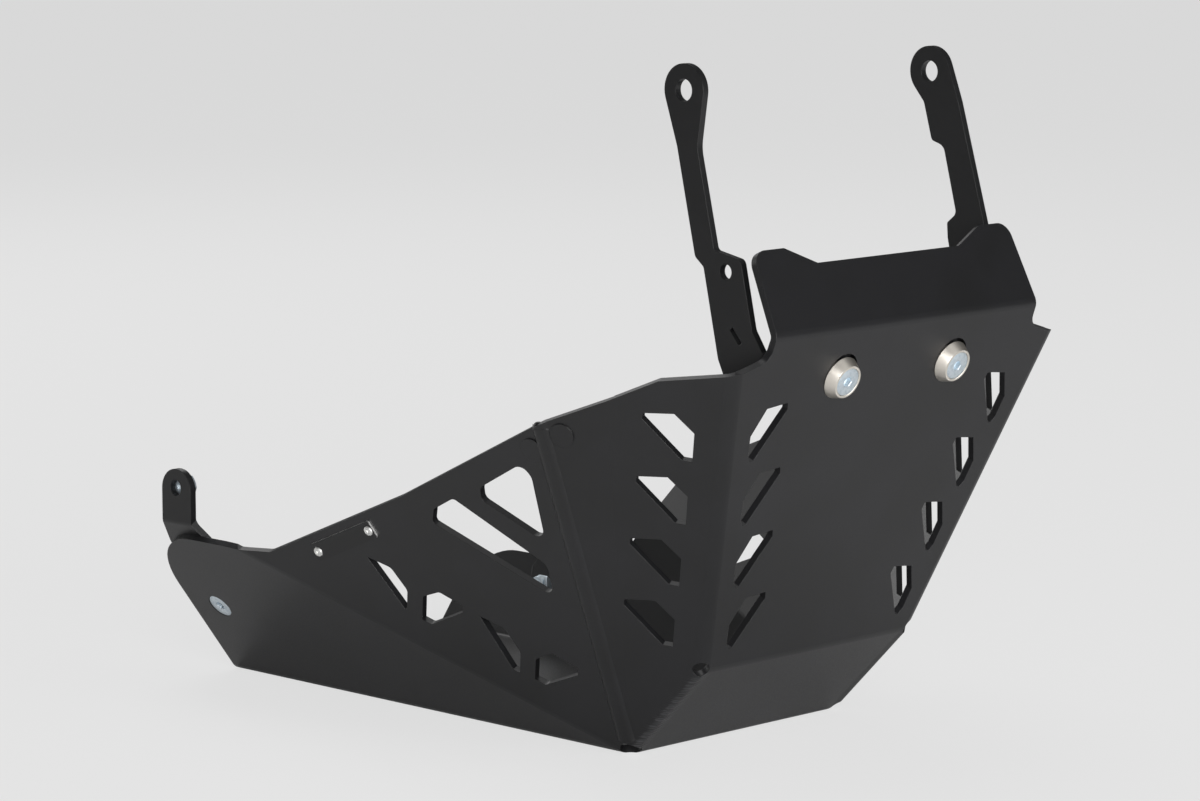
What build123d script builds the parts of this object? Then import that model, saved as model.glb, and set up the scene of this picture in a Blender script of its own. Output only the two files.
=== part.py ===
from build123d import *
import math
import os

os.makedirs("parts", exist_ok=True)

# Motorcycle skid plate, millimetres, +Z up, front of the motorcycle at -Y, its right side at -X.
# The origin is the centre of the floor panel's underside.
# Heights "up" a panel and runs "along" it are measured on its outer face.

# Sheet and panels
SHEET = 4.0                 # sheet thickness
FLOOR_HALF = 86.0           # half width of the floor
FLOOR_LENGTH = 334.0
STRIP_RUN = 55.0            # bevel strip between floor and front panel
STRIP_RISE = 55.0
FRONT_LEAN = 20.7           # degrees forward from upright
FRONT_HEIGHT = 205.0        # up the front panel, to the flange fold
FOLD_HALF = 107.0           # half width of the flange fold
CORNER_HALF = 131.0         # front panel's half width at its shoulders
CORNER_UP = FRONT_HEIGHT - 21.0
FLANGE_LEAN = 25.0          # degrees back from upright
FLANGE_HEIGHT = 48.0        # up the flange's two ears
FLANGE_DIP = 37.8           # up the flange between them
DIP_HALF = 58.0
EAR_HALF = 80.0
FLARE = 37.0                # lower side panel, degrees out from upright
SIDE_HEIGHT = 117.0         # up the lower side panel, on the right
LEFT_SIDE_HEIGHT = 60.0     # the left one is low at the rear
REAR_CORNER_R = 44.0        # side panels' upper rear corners
LEFT_CORNER_R = 34.0
CREASE_TOP = (-153.8, -48.8, 210.2)     # wing crease at its rim, from the floor's front corner line
CREASE_TURN = 4.0           # degrees
SEAM_TOP = (-161.6, -5.6, 194.2)        # weld seam at the rim, same origin
CREASE_SETBACK = 86.6       # the side crease ends this far before the rear edge
SIDE_CREASE_RUN = FLOOR_LENGTH - CREASE_SETBACK
LEFT_DROP = 205.5           # the left side starts to drop here, along Y from the front corner

# Folds, outer radii
FLOOR_FOLD_R = 8.0
STRIP_FOLD_R = 12.0
FLANGE_FOLD_R = 8.0
WING_FOLD_R = 10.0
SIDE_FOLD_R = 8.0
SIDE_CREASE_R = 14.0
WELD_CORNER_R = 5.5
BEAD_WIDTH = 9.5
BEAD_HEIGHT = 1.3
RELIEF_R = 4.6              # relief hole at the strip's upper corners
CORNER_GAP_R = 6.0          # gap at the floor's front corners
PLUG_R = 7.0                # painted-over plugs beside the seam
PLUG_RISE = 0.7
SIDE_PLUG = (82.7, 173.5)
WING_PLUG = (200.1, 28.0)

# Chevron cut-outs, (up the fold, away from it)
CHEVRON_PITCH = 40.1        # wing column, up the fold
CHEVRON_START = 11.0
WING_CHEVRON = [(22.3, 48.3, 1), (26.8, 31.0), (18.0, 18.9), (0.2, 18.4), (-0.4, 24.2), (18.6, 48.2)]
FRONT_PITCH = 40.8
FRONT_START = 8.6
FRONT_CHEVRON = [
    (27.5, 42.5, 1), (29.4, 27.0), (15.8, 16.6), (3.1, 16.3), (-0.8, 18.0), (-0.8, 20.8), (23.0, 42.6),
]

# Side rim and cut-outs, (along the side crease, up from it), spaced for this length of crease
SIDE_PLAN = 273.3
RIM_BEND = (165.2, 97.0)
RIM_FOOT = (252.0, 10.0)
RIM_END = (274.4, -0.5)
WING_SHOULDER = 41.5        # the wing's rim bends this far from the fold
WING_DROP = 14.1            # and this far below the fold's top
LEFT_RIM = [(205.0, 57.0), (220.0, 36.0, 10), (228.0, -1.2)]
TRIANGLE = [(113.7, 131.0, 5), (89.0, 160.5, 6.5), (81.5, 155.0, 7), (68.4, 116.2, 5), (112.0, 123.2, 4)]
LONG_SLOT = [(142.5, 100.4, 2.5), (130.5, 114.4, 4), (66.0, 101.6, 7), (59.6, 82.4, 4), (142.6, 90.8, 2.5)]
QUAD_REAR = [(184.6, 43.2), (168.0, 44.2, 5), (155.6, 34.2, 4), (154.8, 19.0, 1)]
QUAD_MID = [(144.9, 35.6, 3), (134.4, 44.6, 4), (117.9, 43.6), (117.6, 38.8), (137.6, 19.0, 3), (144.0, 19.0)]
QUAD_FRONT = [(106.4, 42.6), (89.4, 43.2, 5), (77.3, 32.0, 4), (76.5, 17.4, 1), (81.0, 17.4)]
QUAD_CORNER = [(67.0, 32.8, 3), (57.2, 42.6, 3), (39.6, 41.4), (39.0, 37.0), (58.8, 18.4, 3), (66.2, 18.6)]

# Front fastening: tapered bushes, countersunk screws, nuts
SCREW_X = 45.2
SCREW_UP = FRONT_HEIGHT - 30.0
BUSH_BASE_R = 12.25
BUSH_TOP_R = 9.4
BUSH_RISE = 6.0
BUSH_SPIGOT_R = 8.0
BUSH_HOLE_R = 11.5
BUSH_HOLE_SHIFT = 2.6       # the panel's hole sits this much above the screw
SCREW_R = 4.0
HEAD_R = 8.0
SOCKET_AF = 5.0
SOCKET_DEPTH = 3.0
NUT_AF = 13.0
NUT_HEIGHT = 6.5
HEAD_SINK = 0.3             # screw face below its seat's rim
FIT = 0.1                   # gap between mating pieces

# Arms, (back, up) from the middle of the foot's front face
ARM_X = 100.0               # middle of the arm plates
ARM_THICK = 4.0
EYE = (59.25, 152.24)
EYE_R = 14.2
EYE_HOLE_R = 6.0
ARM_HOLE = (28.35, 57.84)
ARM_HOLE_R = 4.2
ARM_SLOT = (20.85, 24.04)
FOOT_HALF = 14.0
ARM_BACK = [(44.45, 59.24, 3), (33.65, 10.84, 8), (22.05, -13.26, 8)]
ARM_FRONT = [(2.05, 17.24, 4), (9.45, 28.24, 6)]
SLIM_BACK = [(64.05, 122.24, 24), (50.65, 64.24, 4)]
SLIM_FRONT = [(17.65, 64.84, 4), (36.85, 68.64, 3), (49.45, 122.04, 24)]
NOTCHED_BACK = [
    (63.05, 134.84, 6), (57.05, 113.64, 3), (48.25, 110.84, 6), (38.45, 73.24, 4), (45.05, 67.84, 2),
]
NOTCHED_FRONT = [(18.05, 68.24, 20), (38.05, 136.24, 18)]

# Rear brackets
REAR_SCREW = (FLOOR_LENGTH - 27.4, 58.6)        # on the right lower side panel
REAR_TAB = FLOOR_LENGTH - 32.7                  # middle of the right tab
LEFT_REAR_SCREW = (FLOOR_LENGTH - 76.0, 36.0)
LEG_HALF = 13.5
TAB_BEND = 8.1              # the tab's bend sits this far above the side panel's rim
TAB_HALF = 12.9
TAB_HEIGHT = 32.0
TAB_HOLE_R = 4.75
TAB_HOLE_DROP = 11.2        # below the tab's top

# Badge plate, bare, beside the side rim
BADGE = (200.7, 46.5)
BADGE_LENGTH = 54.0
BADGE_WIDTH = 11.2
BADGE_THICK = 1.0
RIVET_R = 3.0
RIVET_RISE = 1.3
RIVET_STEM_R = 1.55
RIVET_STEP = 23.5


def vec(x, y, z):
    """Point given from the middle of the floor's front fold, in the part's frame."""
    return Vector(x, y - FLOOR_LENGTH / 2, z)


def unit(v):
    """v at length one."""
    return v * (1.0 / v.length)


def outward(a, b, c, inside):
    """Normal of the plane through three points, pointing away from a fourth."""
    n = unit((b - a).cross(c - a))
    return n if n.dot(a - inside) > 0 else n * -1


def turned(v, axis, degrees):
    """v turned about a unit axis through the origin."""
    t = math.radians(degrees)
    return v * math.cos(t) + axis.cross(v) * math.sin(t) + axis * (axis.dot(v) * (1 - math.cos(t)))


# Corner points of the right side; the left side is its mirror image.
LEAN = math.radians(FRONT_LEAN)
FRONT_UP = Vector(0, -math.sin(LEAN), math.cos(LEAN))
INSIDE = vec(0, 60, 120)
A = vec(-FLOOR_HALF, 0, 0)
B = vec(-FLOOR_HALF, -STRIP_RUN, STRIP_RISE)
B_MID = vec(0, -STRIP_RUN, STRIP_RISE)
C = B_MID + FRONT_UP * CORNER_UP + Vector(-CORNER_HALF, 0, 0)
D_MID = B_MID + FRONT_UP * FRONT_HEIGHT
FLARE_UP = Vector(-math.sin(math.radians(FLARE)), 0, math.cos(math.radians(FLARE)))
CREASE_END = A + Vector(0, SIDE_CREASE_RUN, 0) + FLARE_UP * (SIDE_HEIGHT - 0.9)
K = vec(*CREASE_TOP)
S = vec(*SEAM_TOP)

# Outward normals
FLOOR_N = Vector(0, 0, -1)
STRIP_N = unit(Vector(0, -STRIP_RISE, -STRIP_RUN))
FRONT_N = Vector(0, -math.cos(LEAN), -math.sin(LEAN))
FLANGE_N = Vector(0, -math.cos(math.radians(FLANGE_LEAN)), math.sin(math.radians(FLANGE_LEAN)))
WING_N = outward(A, B, C, INSIDE)
WING_REAR_N = turned(WING_N, unit(K - A), -CREASE_TURN)
SIDE_N = outward(A, S, CREASE_END, INSIDE)
FLARE_N = Vector(-math.cos(math.radians(FLARE)), 0, -math.sin(math.radians(FLARE)))


def left(v):
    """Mirror image across the part's middle plane."""
    return Vector(-v.X, v.Y, v.Z)


def walls():
    """(point, outward normal) of every outer face."""
    right = [(A, WING_N), (A, WING_REAR_N), (A, SIDE_N), (A, FLARE_N)]
    middle = [(A, FLOOR_N), (A, STRIP_N), (B_MID, FRONT_N), (D_MID, FLANGE_N)]
    return middle + right + [(left(p), left(n)) for p, n in right]


def hull(inset, rear, top):
    """Solid bounded by the outer faces moved inwards, closed at a rear and a top plane."""
    body = Pos(0, rear - 400, top - 300) * Box(800, 800, 600)
    for point, normal in walls():
        body = split(body, bisect_by=Plane(origin=point - normal * inset, z_dir=normal), keep=Keep.BOTTOM)
    return body


def edge_tool(point, n1, n2, radius, length):
    """Waste outside a rounded edge between two faces, to be cut away."""
    along = unit(n1.cross(n2))
    centre = point - (n1 + n2) * (radius / (1 + n1.dot(n2)))
    lift = 0.02
    start = centre + n1 * (radius + lift)
    middle = centre + unit(n1 + n2) * radius
    end = centre + n2 * (radius + lift)
    corner = point + (n1 + n2) * 3
    outline = [
        ThreePointArc(start, middle, end),
        Line(end, end + n2 * 4),
        Line(end + n2 * 4, corner),
        Line(corner, start + n1 * 4),
        Line(start + n1 * 4, start),
    ]
    face = make_face(Wire(outline))
    return extrude(face, amount=length, dir=along, both=True)


def folds():
    """(point on the edge, both normals, outer radius) of every rounded edge."""
    right = [
        (C, FRONT_N, WING_N, WING_FOLD_R),
        (A, FLOOR_N, FLARE_N, SIDE_FOLD_R),
        (A, FLARE_N, SIDE_N, SIDE_CREASE_R),
    ]
    middle = [
        (A, FLOOR_N, STRIP_N, FLOOR_FOLD_R),
        (B_MID, STRIP_N, FRONT_N, STRIP_FOLD_R),
        (D_MID, FRONT_N, FLANGE_N, FLANGE_FOLD_R),
    ]
    return middle + right + [(left(p), left(a), left(b), r) for p, a, b, r in right]


def rounded(solid, inset):
    """The hull with its folds rounded; the weld corners are rounded outside only."""
    for point, n1, n2, radius in folds():
        shift = (n1 + n2) * (inset / (1 + n1.dot(n2)))
        solid = solid - edge_tool(point - shift, n1, n2, radius - inset, 500)
    if inset == 0:
        for point, n1, n2 in [(A, STRIP_N, WING_N), (left(A), STRIP_N, left(WING_N))]:
            solid = solid - edge_tool(point, n1, n2, WELD_CORNER_R, 120)
    return solid


def frame(origin, x_dir, normal):
    """Plane on a panel: x along the given direction, z along the normal."""
    return Plane(origin=origin, x_dir=x_dir, z_dir=normal)


FRONT = frame(B_MID, Vector(1, 0, 0), FRONT_N)
FLANGE = frame(D_MID, Vector(1, 0, 0), FLANGE_N)
WING = frame(B, unit(C - B), WING_N)
WING_REAR = frame(A, unit(K - A), WING_REAR_N)
SIDE = frame(A, unit(CREASE_END - A), SIDE_N * -1)
FLARED = frame(A, Vector(0, 1, 0), FLARE_N * -1)


def corner_reaches(corners, radii, halves):
    """Length that each rounded corner takes from its sides, limited where two share a short side."""
    reaches = [r / math.tan(half) for r, half in zip(radii, halves)]
    for i in range(len(corners)):
        j = (i + 1) % len(corners)
        side = (corners[j] - corners[i]).length
        excess = (reaches[i] + reaches[j]) / side
        if excess > 1:
            reaches[i] /= excess
            reaches[j] /= excess
    return reaches


def outline_face(points):
    """Flat face from (x, y, corner radius) points."""
    corners = [Vector(p[0], p[1], 0) for p in points]
    radii = [p[2] if len(p) > 2 else 0 for p in points]
    count = len(points)
    to_prev = [unit(corners[i - 1] - corners[i]) for i in range(count)]
    to_next = [unit(corners[(i + 1) % count] - corners[i]) for i in range(count)]
    halves = [math.radians(a.get_angle(b) / 2) for a, b in zip(to_prev, to_next)]
    reaches = corner_reaches(corners, radii, halves)
    pieces = []
    marks = []
    for i in range(count):
        here = corners[i]
        if radii[i] <= 0:
            marks.append((here, here))
            continue
        radius = reaches[i] * math.tan(halves[i])
        centre = here + unit(to_prev[i] + to_next[i]) * (radius / math.sin(halves[i]))
        middle = centre + unit(here - centre) * radius
        first = here + to_prev[i] * reaches[i]
        last = here + to_next[i] * reaches[i]
        pieces.append(ThreePointArc(first, middle, last))
        marks.append((first, last))
    for i in range(count):
        start = marks[i][1]
        end = marks[(i + 1) % count][0]
        if (end - start).length > 1e-6:
            pieces.append(Line(start, end))
    return make_face(Wire.combine(pieces)[0])


def prism(plane, points, low, high):
    """Outline extruded between two heights above a panel frame."""
    return plane * (Pos(0, 0, low) * extrude(outline_face(points), amount=high - low))


def mirrored(shape):
    """The shape on the other side of the part."""
    return mirror(shape, about=Plane.YZ)


def chevron(points, start):
    """Chevron points moved up a fold."""
    return [(p[0] + start, *p[1:]) for p in points]


def chevron_count(points, start, pitch):
    """How many chevrons fit up the wing fold."""
    tallest = max(p[0] for p in points)
    return int(((C - B).length - start - tallest) / pitch) + 1


def along(points):
    """Side panel points, their distance from the seam suited to the crease's length."""
    share = (CREASE_END - A).length / SIDE_PLAN
    top = SIDE.to_local_coords(S)
    slope = top.X / top.Y
    return [(slope * y + (x - slope * y) * share, y, *radius) for x, y, *radius in points]


def wing_cutouts():
    """Chevrons of the right wing."""
    return [
        prism(WING, chevron(WING_CHEVRON, CHEVRON_START + i * CHEVRON_PITCH), -12, 12)
        for i in range(chevron_count(WING_CHEVRON, CHEVRON_START, CHEVRON_PITCH))
    ]


def front_cutouts():
    """Chevrons of the front panel's right column, placed from its fold."""
    up = unit(C - B)
    across = unit(up.cross(FRONT_N))
    across = across if across.X > 0 else across * -1
    cuts = []
    for i in range(chevron_count(FRONT_CHEVRON, FRONT_START, FRONT_PITCH)):
        points = []
        for u, v, *radius in chevron(FRONT_CHEVRON, FRONT_START + i * FRONT_PITCH):
            p = FRONT.to_local_coords(B + up * u + across * v)
            points.append((p.X, p.Y, *radius))
        cuts.append(prism(FRONT, points, -12, 12))
    return cuts


def side_cutouts():
    """Triangle, long slot and four angular holes of the right side panel."""
    shapes = [TRIANGLE, LONG_SLOT, QUAD_REAR, QUAD_MID, QUAD_FRONT, QUAD_CORNER]
    return [prism(SIDE, along(points), -3, SHEET + 2) for points in shapes]


def seam_up():
    """Unit direction of the weld seam, from the floor corner upwards."""
    return unit(S - A)


def past(start, end, extra):
    """(x, y) of the end of a line made a little longer."""
    point = end + unit(Vector(end.X - start.X, end.Y - start.Y, 0)) * extra
    return (point.X, point.Y)


def right_rim():
    """Waste above the rim of the right wing and side panels."""
    seam = SIDE.to_local_coords(S)
    bend, foot, end = along([RIM_BEND, RIM_FOOT, RIM_END])
    seam_over = past(Vector(*bend, 0), seam, 8)
    fold = (C - B).length
    crease = WING.to_local_coords(K)
    crease_over = past(Vector(fold - WING_DROP, WING_SHOULDER, 0), crease, 3)
    crease_rear = WING_REAR.to_local_coords(K)
    seam_rear = WING_REAR.to_local_coords(S)
    seam_rear_over = past(crease_rear, seam_rear, 8)
    crease_rear_over = past(seam_rear, crease_rear, 3)
    return [
        prism(SIDE, [seam_over, (*bend, 60), (*foot, 8), end, (500, end[1]), (500, 420), (seam_over[0], 420)],
              -14, 14),
        prism(WING_REAR, [crease_rear_over, seam_rear_over, (400, seam_rear_over[1]), (400, -30)], -14, 14),
        prism(WING, [(fold + 4.6, -3), (fold + 0.7, 0.8, 2), (fold - WING_DROP, WING_SHOULDER, 4), crease_over,
                     (400, crease_over[1]), (400, -3)], -14, 14),
    ]


def right_side_trim():
    """Waste above and behind the right lower side panel."""
    rear = FLOOR_LENGTH
    start = SIDE_CREASE_RUN - 0.8
    return [
        prism(FLARED, [
            (start, SIDE_HEIGHT - 0.8), (start + 15.4, SIDE_HEIGHT), (rear, SIDE_HEIGHT, REAR_CORNER_R),
            (rear, 20), (rear + 60, 20), (rear + 60, 330), (start, 330),
        ], -14, 14),
    ]


def left_side_trim():
    """Waste above the left side panels, which are low at the rear."""
    rear = FLOOR_LENGTH
    rim = along(LEFT_RIM)
    side = [*rim, (460, rim[-1][1]), (460, 330), (rim[0][0], 330)]
    drop = LEFT_DROP * (CREASE_END - A).length / SIDE_PLAN
    crease = drop * (SIDE_HEIGHT - 0.9) / SIDE_CREASE_RUN
    low = [(drop, crease + 1.1), (drop + 8.5, LEFT_SIDE_HEIGHT, 14), (rear, LEFT_SIDE_HEIGHT, LEFT_CORNER_R),
           (rear, 8), (rear + 60, 8), (rear + 60, 330), (drop, 330)]
    return [
        mirrored(prism(SIDE, side, -14, 14)),
        mirrored(prism(FLARED, low, -14, 14)),
    ]


def front_trim():
    """Waste round the flange and above the front panel's shoulders."""
    fold = FRONT_HEIGHT
    shoulder = [
        (-FOLD_HALF, fold - 1), (-FOLD_HALF - 0.3, fold - 13.5, 8), (-CORNER_HALF + 3, CORNER_UP + 1.2, 14),
        (-CORNER_HALF - 0.8, CORNER_UP + 0.8, 2), (-CORNER_HALF - 7, CORNER_UP + 6),
        (-CORNER_HALF - 7, 330), (-FOLD_HALF, 330),
    ]
    right = prism(FRONT, shoulder, -14, 14)
    ear = FOLD_HALF - 3
    keep = outline_face([
        (-FOLD_HALF, -40), (-FOLD_HALF, 0), (-ear, FLANGE_HEIGHT, 9), (-EAR_HALF, FLANGE_HEIGHT, 3),
        (-DIP_HALF, FLANGE_DIP, 3), (DIP_HALF, FLANGE_DIP, 3), (EAR_HALF, FLANGE_HEIGHT, 3),
        (ear, FLANGE_HEIGHT, 9), (FOLD_HALF, 0), (FOLD_HALF, -40),
    ])
    frame_face = Pos(0, 70) * Rectangle(560, 140) - keep
    above = FLANGE * (Pos(0, 0, -14) * extrude(frame_face, amount=28))
    return [right, mirrored(right), above]


def reliefs():
    """Relief hole at the strip's corner and gap at the floor's corner, both sides."""
    axis = unit(STRIP_N + FRONT_N + WING_N)
    hole = Plane(origin=B, z_dir=axis) * Cylinder(RELIEF_R, 40)
    gap_axis = unit(FLOOR_N + STRIP_N + WING_N + FLARE_N)
    gap = Plane(origin=A, z_dir=gap_axis) * Cylinder(CORNER_GAP_R, 40)
    return [hole, gap, mirrored(hole), mirrored(gap)]


def bead(inner):
    """Weld bead over the right seam, outside only."""
    up = seam_up()
    away = unit(WING_REAR_N + SIDE_N)
    r = (BEAD_WIDTH ** 2 / 4 + BEAD_HEIGHT ** 2) / (2 * BEAD_HEIGHT)
    base = A + up * 9 - away * (r - BEAD_HEIGHT)
    rod = Plane(origin=base, z_dir=up) * (Pos(0, 0, 115) * Cylinder(r, 230))
    return rod - inner


def plugs():
    """Two painted-over plugs beside the right seam."""
    on_side = SIDE * (Pos(*SIDE_PLUG, 0) * Cylinder(PLUG_R, 2 * PLUG_RISE))
    on_wing = WING_REAR * (Pos(*WING_PLUG, 0) * Cylinder(PLUG_R, 2 * PLUG_RISE))
    return [on_side, on_wing]


def screw_seat():
    """Countersunk clearance hole, face at z 0, going down."""
    deep = HEAD_R - SCREW_R + HEAD_SINK
    cone = Pos(0, 0, -deep / 2) * Cone(SCREW_R + FIT, HEAD_R + FIT + HEAD_SINK, deep)
    bore = Pos(0, 0, -10) * Cylinder(SCREW_R + FIT, 28)
    return cone + bore


def skid_plate():
    """The folded and welded sheet."""
    rear = FLOOR_LENGTH / 2
    outer = rounded(hull(0, rear, 330), 0)
    inner = rounded(hull(SHEET, rear + 60, 360), SHEET)
    shell = outer - inner
    weld = bead(inner)
    shell = shell + weld + mirrored(weld)
    waste = right_rim()
    waste = waste + [mirrored(w) for w in right_rim()]
    waste = waste + right_side_trim() + left_side_trim() + front_trim() + reliefs()
    cuts = wing_cutouts() + front_cutouts() + side_cutouts()
    waste = waste + cuts + [mirrored(c) for c in cuts]
    for tool in waste:
        shell = shell - tool
    for plug in plugs():
        shell = shell + plug + mirrored(plug)
    for sign in (-1, 1):
        hole = Pos(sign * SCREW_X, SCREW_UP + BUSH_HOLE_SHIFT, 0) * Cylinder(BUSH_HOLE_R, 30)
        shell = shell - FRONT * hole
    shell = shell - side_flip(REAR_SCREW) * screw_seat()
    shell = shell - mirrored(side_flip(LEFT_REAR_SCREW) * screw_seat())
    return shell.solids().sort_by(SortBy.VOLUME)[-1]


def tangent(centre, radius, point, side):
    """Point where a line from outside a circle touches it, on the chosen side (1 or -1)."""
    dx, dy = point[0] - centre[0], point[1] - centre[1]
    angle = math.atan2(dy, dx) + side * math.acos(radius / math.hypot(dx, dy))
    return (centre[0] + radius * math.cos(angle), centre[1] + radius * math.sin(angle))


def arm_outline(slim):
    """Arm plate outline below the eye, slim or notched at the rear."""
    rise = (FRONT_UP.Y * FOOT_HALF, FRONT_UP.Z * FOOT_HALF)
    foot = [(-rise[0], -rise[1]), rise]
    rear = SLIM_BACK if slim else NOTCHED_BACK
    front = SLIM_FRONT if slim else NOTCHED_FRONT
    points = rear + ARM_BACK + foot + ARM_FRONT + front
    return [tangent(EYE, EYE_R, points[0], 1), *points, tangent(EYE, EYE_R, points[-1], -1)]


def arm(slim):
    """Right-hand arm: upright plate with an eye, folded into a foot behind the front panel."""
    edge = -ARM_X - ARM_THICK / 2
    base = FRONT.from_local_coords(Vector(0, SCREW_UP, -SHEET + 1))
    side = Plane(origin=(edge, base.Y, base.Z), x_dir=(0, 1, 0), z_dir=(1, 0, 0))
    across = Plane(origin=B_MID + FRONT_UP * SCREW_UP, x_dir=(1, 0, 0), z_dir=FRONT_UP * -1)
    folded = prism(across, [
        (edge, -SHEET, 7), (-SCREW_X + FOOT_HALF, -SHEET), (-SCREW_X + FOOT_HALF, -SHEET - ARM_THICK),
        (edge + ARM_THICK, -SHEET - ARM_THICK, 3), (edge + ARM_THICK, -240), (edge, -240),
    ], -240, 240)
    plate = prism(side, arm_outline(slim), 0, ARM_THICK + 3)
    plate = plate + side * (Pos(EYE[0], EYE[1], ARM_THICK / 2) * Cylinder(EYE_R, ARM_THICK))
    foot = prism(FRONT, [
        (edge, SCREW_UP - FOOT_HALF), (-SCREW_X + FOOT_HALF, SCREW_UP - FOOT_HALF, FOOT_HALF - 0.5),
        (-SCREW_X + FOOT_HALF, SCREW_UP + FOOT_HALF, FOOT_HALF - 0.5), (edge, SCREW_UP + FOOT_HALF),
    ], -SHEET - ARM_THICK - 3, -SHEET + 1)
    body = folded & (plate + foot)
    body = body - side * (Pos(EYE[0], EYE[1], ARM_THICK / 2) * Cylinder(EYE_HOLE_R, 20))
    body = body - side * (Pos(ARM_HOLE[0], ARM_HOLE[1], ARM_THICK / 2) * Cylinder(ARM_HOLE_R, 20))
    body = body - FRONT * (Pos(-SCREW_X, SCREW_UP, -SHEET - 2) * Cylinder(SCREW_R + 0.4, 12))
    if slim:
        slot = Pos(*ARM_SLOT, ARM_THICK / 2) * Rot(0, 0, 49) * Box(10.2, 2.6, 20)
        body = body - side * slot
    return body


def bush():
    """Tapered bush on the front panel, right side."""
    spigot = Pos(0, 0, -SHEET / 2) * Cylinder(BUSH_SPIGOT_R, SHEET)
    taper = Pos(0, 0, BUSH_RISE / 2) * Cone(BUSH_BASE_R, BUSH_TOP_R, BUSH_RISE)
    return FRONT * Pos(-SCREW_X, SCREW_UP, 0) * (spigot + taper - Pos(0, 0, BUSH_RISE) * screw_seat())


def countersunk_screw(length):
    """Socket countersunk screw, head face at z 0, shank downwards."""
    deep = HEAD_R - SCREW_R
    head = Pos(0, 0, -deep / 2) * Cone(SCREW_R, HEAD_R, deep)
    shank = Pos(0, 0, -(deep + length) / 2) * Cylinder(SCREW_R, length - deep)
    hexagon = RegularPolygon(SOCKET_AF / 2, 6, major_radius=False)
    socket = Pos(0, 0, -SOCKET_DEPTH) * extrude(hexagon, SOCKET_DEPTH)
    return head + shank - socket


def hex_nut():
    """Hexagon nut, its seat at z 0, body downwards."""
    body = Pos(0, 0, -NUT_HEIGHT) * extrude(RegularPolygon(NUT_AF / 2, 6, major_radius=False), NUT_HEIGHT)
    return body - Cylinder(SCREW_R + 0.02, 40)


def front_screw():
    """Screw of the right bush."""
    return FRONT * Pos(-SCREW_X, SCREW_UP, BUSH_RISE - HEAD_SINK) * countersunk_screw(24)


def front_nut():
    """Nut behind the right arm's foot."""
    return FRONT * Pos(-SCREW_X, SCREW_UP, -SHEET - ARM_THICK) * hex_nut()


def side_flip(point):
    """Frame on the right lower side panel's outer face, z outwards."""
    origin = FLARED.from_local_coords(Vector(point[0], point[1], 0))
    return Plane(origin=origin, x_dir=(0, -1, 0), z_dir=FLARE_N)


def rear_screw(point):
    """Countersunk screw through the right lower side panel."""
    return side_flip(point) * (Pos(0, 0, -HEAD_SINK) * countersunk_screw(18))


def rear_nut(point):
    """Nut on the inner side of the rear bracket's leg."""
    return side_flip(point) * (Pos(0, 0, -SHEET - ARM_THICK) * hex_nut())


def rear_bracket(point, tab_middle, rim):
    """Right-hand rear bracket: leg inside the lower side panel, tab bent upright above the rim."""
    top = rim + TAB_BEND
    bend = FLARED.from_local_coords(Vector(tab_middle, top, SHEET))
    upright = Plane(origin=bend, x_dir=(0, 1, 0), z_dir=(1, 0, 0))
    section = Plane(origin=bend, x_dir=(1, 0, 0), z_dir=(0, -1, 0))
    lean = math.radians(FLARE)
    down = (math.sin(lean) * 160, -math.cos(lean) * 160)
    inner = ARM_THICK * math.tan(lean / 2)
    bent = prism(section, [
        (0, 0, 4), down, (down[0] + math.cos(lean) * ARM_THICK, down[1] + math.sin(lean) * ARM_THICK),
        (ARM_THICK, inner, 8), (ARM_THICK, TAB_HEIGHT + 2), (0, TAB_HEIGHT + 2),
    ], -60, 60)
    x, y = point
    near = tab_middle - TAB_HALF
    far = tab_middle + TAB_HALF
    leg = prism(FLARED, [
        (near, top + 3), (near, top), (near - 6, top - 14, 8),
        (x - LEG_HALF, y + 2, 30), (x - LEG_HALF, y - 13, 12), (x + LEG_HALF, y - 13, 12),
        (x + LEG_HALF + 1, y + 4, 30),
        (far + 6, top - 18, 8), (far, top), (far, top + 3),
    ], SHEET - 1, SHEET + ARM_THICK + 3)
    tab = prism(upright, [
        (-TAB_HALF, -3), (TAB_HALF, -3),
        (TAB_HALF, TAB_HEIGHT, TAB_HALF - 0.4), (-TAB_HALF, TAB_HEIGHT, TAB_HALF - 0.4),
    ], -2, ARM_THICK + 2)
    body = bent & (leg + tab)
    body = body - upright * (Pos(0.5, TAB_HEIGHT - TAB_HOLE_DROP, 0) * Cylinder(TAB_HOLE_R, 20))
    hole = Pos(x, y, SHEET + ARM_THICK / 2) * Cylinder(SCREW_R + 0.4, 20)
    return body - FLARED * hole, upright


def tab_nut(upright):
    """Captive nut on the tab's inner face."""
    seat = Plane(origin=upright.from_local_coords(Vector(0.5, TAB_HEIGHT - TAB_HOLE_DROP, ARM_THICK)),
                 x_dir=(0, 1, 0), z_dir=(-1, 0, 0))
    return seat * hex_nut()


def badge_frame():
    """Frame of the badge plate on the right side panel, z outwards."""
    middle, bend, foot = [SIDE.from_local_coords(Vector(*p, 0)) for p in along([BADGE, RIM_BEND, RIM_FOOT])]
    return Plane(origin=middle, x_dir=unit(bend - foot), z_dir=SIDE_N)


def badge_plate():
    """Bare nameplate, lettering left off."""
    plate = Pos(0, 0, BADGE_THICK / 2) * Box(BADGE_LENGTH, BADGE_WIDTH, BADGE_THICK)
    plate = fillet(plate.edges().filter_by(Axis.Z), 1.5)
    for sign in (-1, 1):
        plate = plate - Pos(sign * RIVET_STEP, 0, 0) * Cylinder(RIVET_STEM_R + FIT / 2, 10)
    return badge_frame() * plate


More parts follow.
